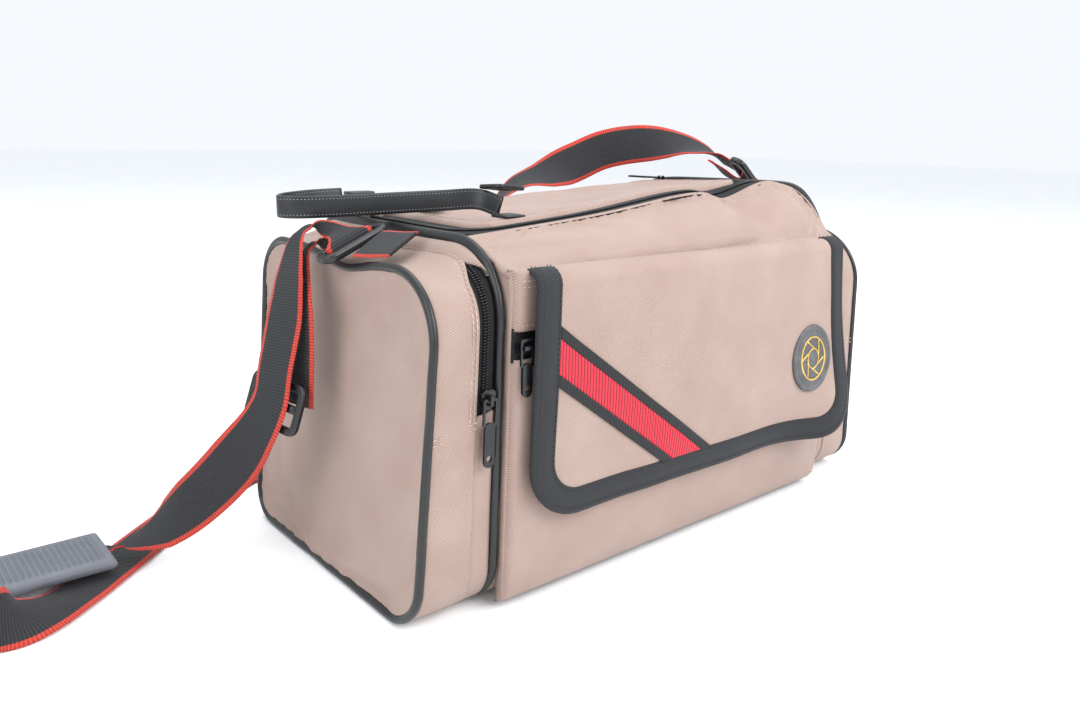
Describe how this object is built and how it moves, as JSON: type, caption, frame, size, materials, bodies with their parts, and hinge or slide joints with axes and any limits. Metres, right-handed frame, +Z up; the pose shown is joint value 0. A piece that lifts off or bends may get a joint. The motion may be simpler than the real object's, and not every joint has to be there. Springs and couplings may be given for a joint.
{
  "type": "camera bag",
  "caption": "Soft twill camera bag with a zipped lid, end pockets, a flapped front pocket, a leather hand strap and a webbing shoulder strap.",
  "frame": {"origin": "middle of the base between the two main seams, on the surface the bag stands on", "axes": "+X along the bag, to the right seen from the front flap; -Y towards the front flap; +Z up"},
  "size_m": [0.6158, 0.2953, 0.2487],
  "materials": {
    "twill_cloth": "nylon twill, matt with a faint sheen",
    "piping_vinyl": "glossy vinyl cord",
    "zip_tape": "woven tape",
    "zip_coil": "nylon coil",
    "zip_metal": "black enamelled zinc",
    "binding_twill": "herringbone tape",
    "black_webbing": "ribbed tape",
    "red_webbing": "ribbed tape",
    "strap_webbing": "ribbed webbing with red edges",
    "badge_rubber": "matt moulded",
    "badge_gilt": "satin",
    "strap_leather": "smooth, stitched",
    "buckle_plastic": "moulded acetal",
    "clip_metal": "gunmetal",
    "pad_rubber": "moulded, ribbed",
    "divider_foam": "brushed cloth over foam",
    "base_board_fibre": "fibre board"
  },
  "bodies": {
    "body": {"main_shell": "twill_cloth", "front_top_panel": "twill_cloth", "left_end_wall": "twill_cloth", "right_end_wall": "twill_cloth", "main_piping_left": "piping_vinyl", "main_piping_right": "piping_vinyl", "base_board": "base_board_fibre", "body_zip_tape": "zip_tape", "body_zip_coil": "zip_coil", "left_pocket_gusset": "twill_cloth", "left_pocket_zip_tape": "zip_tape", "left_pocket_zip_coil": "zip_coil", "left_pocket_panel": "twill_cloth", "left_pocket_piping": "piping_vinyl", "right_pocket_gusset": "twill_cloth", "right_pocket_zip_tape": "zip_tape", "right_pocket_zip_coil": "zip_coil", "right_pocket_panel": "twill_cloth", "right_pocket_piping": "piping_vinyl", "front_pocket_panel": "twill_cloth", "front_pocket_top_strip": "twill_cloth", "front_zip_tape": "zip_tape", "front_zip_coil": "zip_coil", "left_anchor_tab": "black_webbing", "right_anchor_tab": "black_webbing", "shoulder_strap": "strap_webbing"},
    "left_ring": {"left_ring": "buckle_plastic"},
    "right_ring": {"right_ring": "buckle_plastic"},
    "lid": {"lid_panel": "twill_cloth", "lid_zip_coil": "zip_coil", "lid_zip_tape": "zip_tape", "hand_strap_front_tab": "strap_leather", "clip_ring_tab": "black_webbing"},
    "hand_strap": {"hand_strap": "strap_leather", "hand_strap_buckle": "buckle_plastic", "clip_body": "clip_metal"},
    "clip_gate": {"clip_gate": "clip_metal"},
    "clip_ring": {"clip_ring": "clip_metal"},
    "flap": {"flap_panel": "twill_cloth", "flap_binding": "binding_twill", "flap_red_band": "red_webbing", "flap_band_edging_upper": "black_webbing", "flap_band_edging_lower": "black_webbing", "flap_badge": "badge_rubber", "flap_emblem": "badge_gilt"},
    "main_slider": {"main_slider": "zip_metal"},
    "main_pull": {"main_pull": "zip_metal"},
    "left_pocket_slider": {"left_pocket_slider": "zip_metal"},
    "left_pocket_pull": {"left_pocket_pull": "zip_metal"},
    "right_pocket_slider": {"right_pocket_slider": "zip_metal"},
    "right_pocket_pull": {"right_pocket_pull": "zip_metal"},
    "front_slider": {"front_slider": "zip_metal"},
    "front_pull": {"front_pull": "zip_metal"},
    "shoulder_pad": {"shoulder_pad": "pad_rubber"},
    "divider_left": {"divider_left": "divider_foam"},
    "divider_right": {"divider_right": "divider_foam"},
    "strap_triglide": {"strap_triglide": "buckle_plastic"}
  },
  "joints": [
    {"name": "lid_hinge", "type": "hinge", "parent": "body", "child": "lid", "pos_m": [0, 0.06, 0.1985], "axis": [-0.9982, 0, -0.0595], "range_deg": [0, 65]},
    {"name": "flap_swing", "type": "hinge", "parent": "body", "child": "flap", "pos_m": [0, -0.106, 0.1775], "axis": [-1, 0, 0], "range_deg": [0, 150]},
    {"name": "hand_strap_swing", "type": "hinge", "parent": "lid", "child": "hand_strap", "pos_m": [-0.084, -0.018, 0.20023], "axis": [-0.3202, 0.9473, 0], "range_deg": [0, 30]},
    {"name": "clip_gate_press", "type": "hinge", "parent": "hand_strap", "child": "clip_gate", "pos_m": [-0.126, 0.053, 0.20303], "axis": [0, 1, 0], "range_deg": [0, 20], "stiffness_Nm_per_rad": 0.05},
    {"name": "clip_ring_swivel", "type": "hinge", "parent": "lid", "child": "clip_ring", "pos_m": [-0.1005, 0.053, 0.20023], "axis": [0, 1, 0], "range_deg": [0, 40]},
    {"name": "main_slider_travel", "type": "slide", "parent": "body", "child": "main_slider", "axis": [0, -0.9999, 0.0123], "range_m": [0, 0.055]},
    {"name": "main_pull_swing", "type": "hinge", "parent": "main_slider", "child": "main_pull", "pos_m": [0.1236, 0.0468, 0.20939], "axis": [1, 0, 0], "range_deg": [0, 150]},
    {"name": "left_pocket_slider_travel", "type": "slide", "parent": "body", "child": "left_pocket_slider", "axis": [0.0369, 0, 0.9993], "range_m": [0, 0.03]},
    {"name": "left_pocket_pull_swing", "type": "hinge", "parent": "left_pocket_slider", "child": "left_pocket_pull", "pos_m": [-0.14998, -0.0974, 0.11701], "axis": [-0.9993, 0, 0.0369], "range_deg": [0, 150]},
    {"name": "right_pocket_slider_travel", "type": "slide", "parent": "body", "child": "right_pocket_slider", "axis": [-0.0369, 0, 0.9993], "range_m": [0, 0.03]},
    {"name": "right_pocket_pull_swing", "type": "hinge", "parent": "right_pocket_slider", "child": "right_pocket_pull", "pos_m": [0.14998, -0.0974, 0.11701], "axis": [-0.9993, 0, -0.0369], "range_deg": [0, 150]},
    {"name": "front_slider_travel", "type": "slide", "parent": "body", "child": "front_slider", "axis": [1, 0, 0], "range_m": [0, 0.26]},
    {"name": "front_pull_swing", "type": "hinge", "parent": "front_slider", "child": "front_pull", "pos_m": [-0.134, -0.105, 0.142], "axis": [0, 1, 0], "range_deg": [-30, 30]},
    {"name": "left_ring_swing", "type": "hinge", "parent": "body", "child": "left_ring", "pos_m": [-0.1722, -0.0002, 0.1835], "axis": [-0.9231, -0.1003, -0.3712], "range_deg": [-10, 12]},
    {"name": "right_ring_swing", "type": "hinge", "parent": "body", "child": "right_ring", "pos_m": [0.1616, -0.001, 0.213], "axis": [0.7684, -0.0399, -0.6387], "range_deg": [-8, 8]},
    {"name": "shoulder_pad_slide", "type": "slide", "parent": "body", "child": "shoulder_pad", "axis": [1, 0, 0], "range_m": [-0.0015, 0.0015]},
    {"name": "triglide_slide", "type": "slide", "parent": "body", "child": "strap_triglide", "axis": [-0.3142, 0.0172, -0.9492], "range_m": [-0.004, 0.004]},
    {"name": "left_divider_slide", "type": "slide", "parent": "body", "child": "divider_left", "axis": [1, 0, 0], "range_m": [-0.02, 0.02]},
    {"name": "right_divider_slide", "type": "slide", "parent": "body", "child": "divider_right", "axis": [1, 0, 0], "range_m": [-0.02, 0.02]}
  ]
}
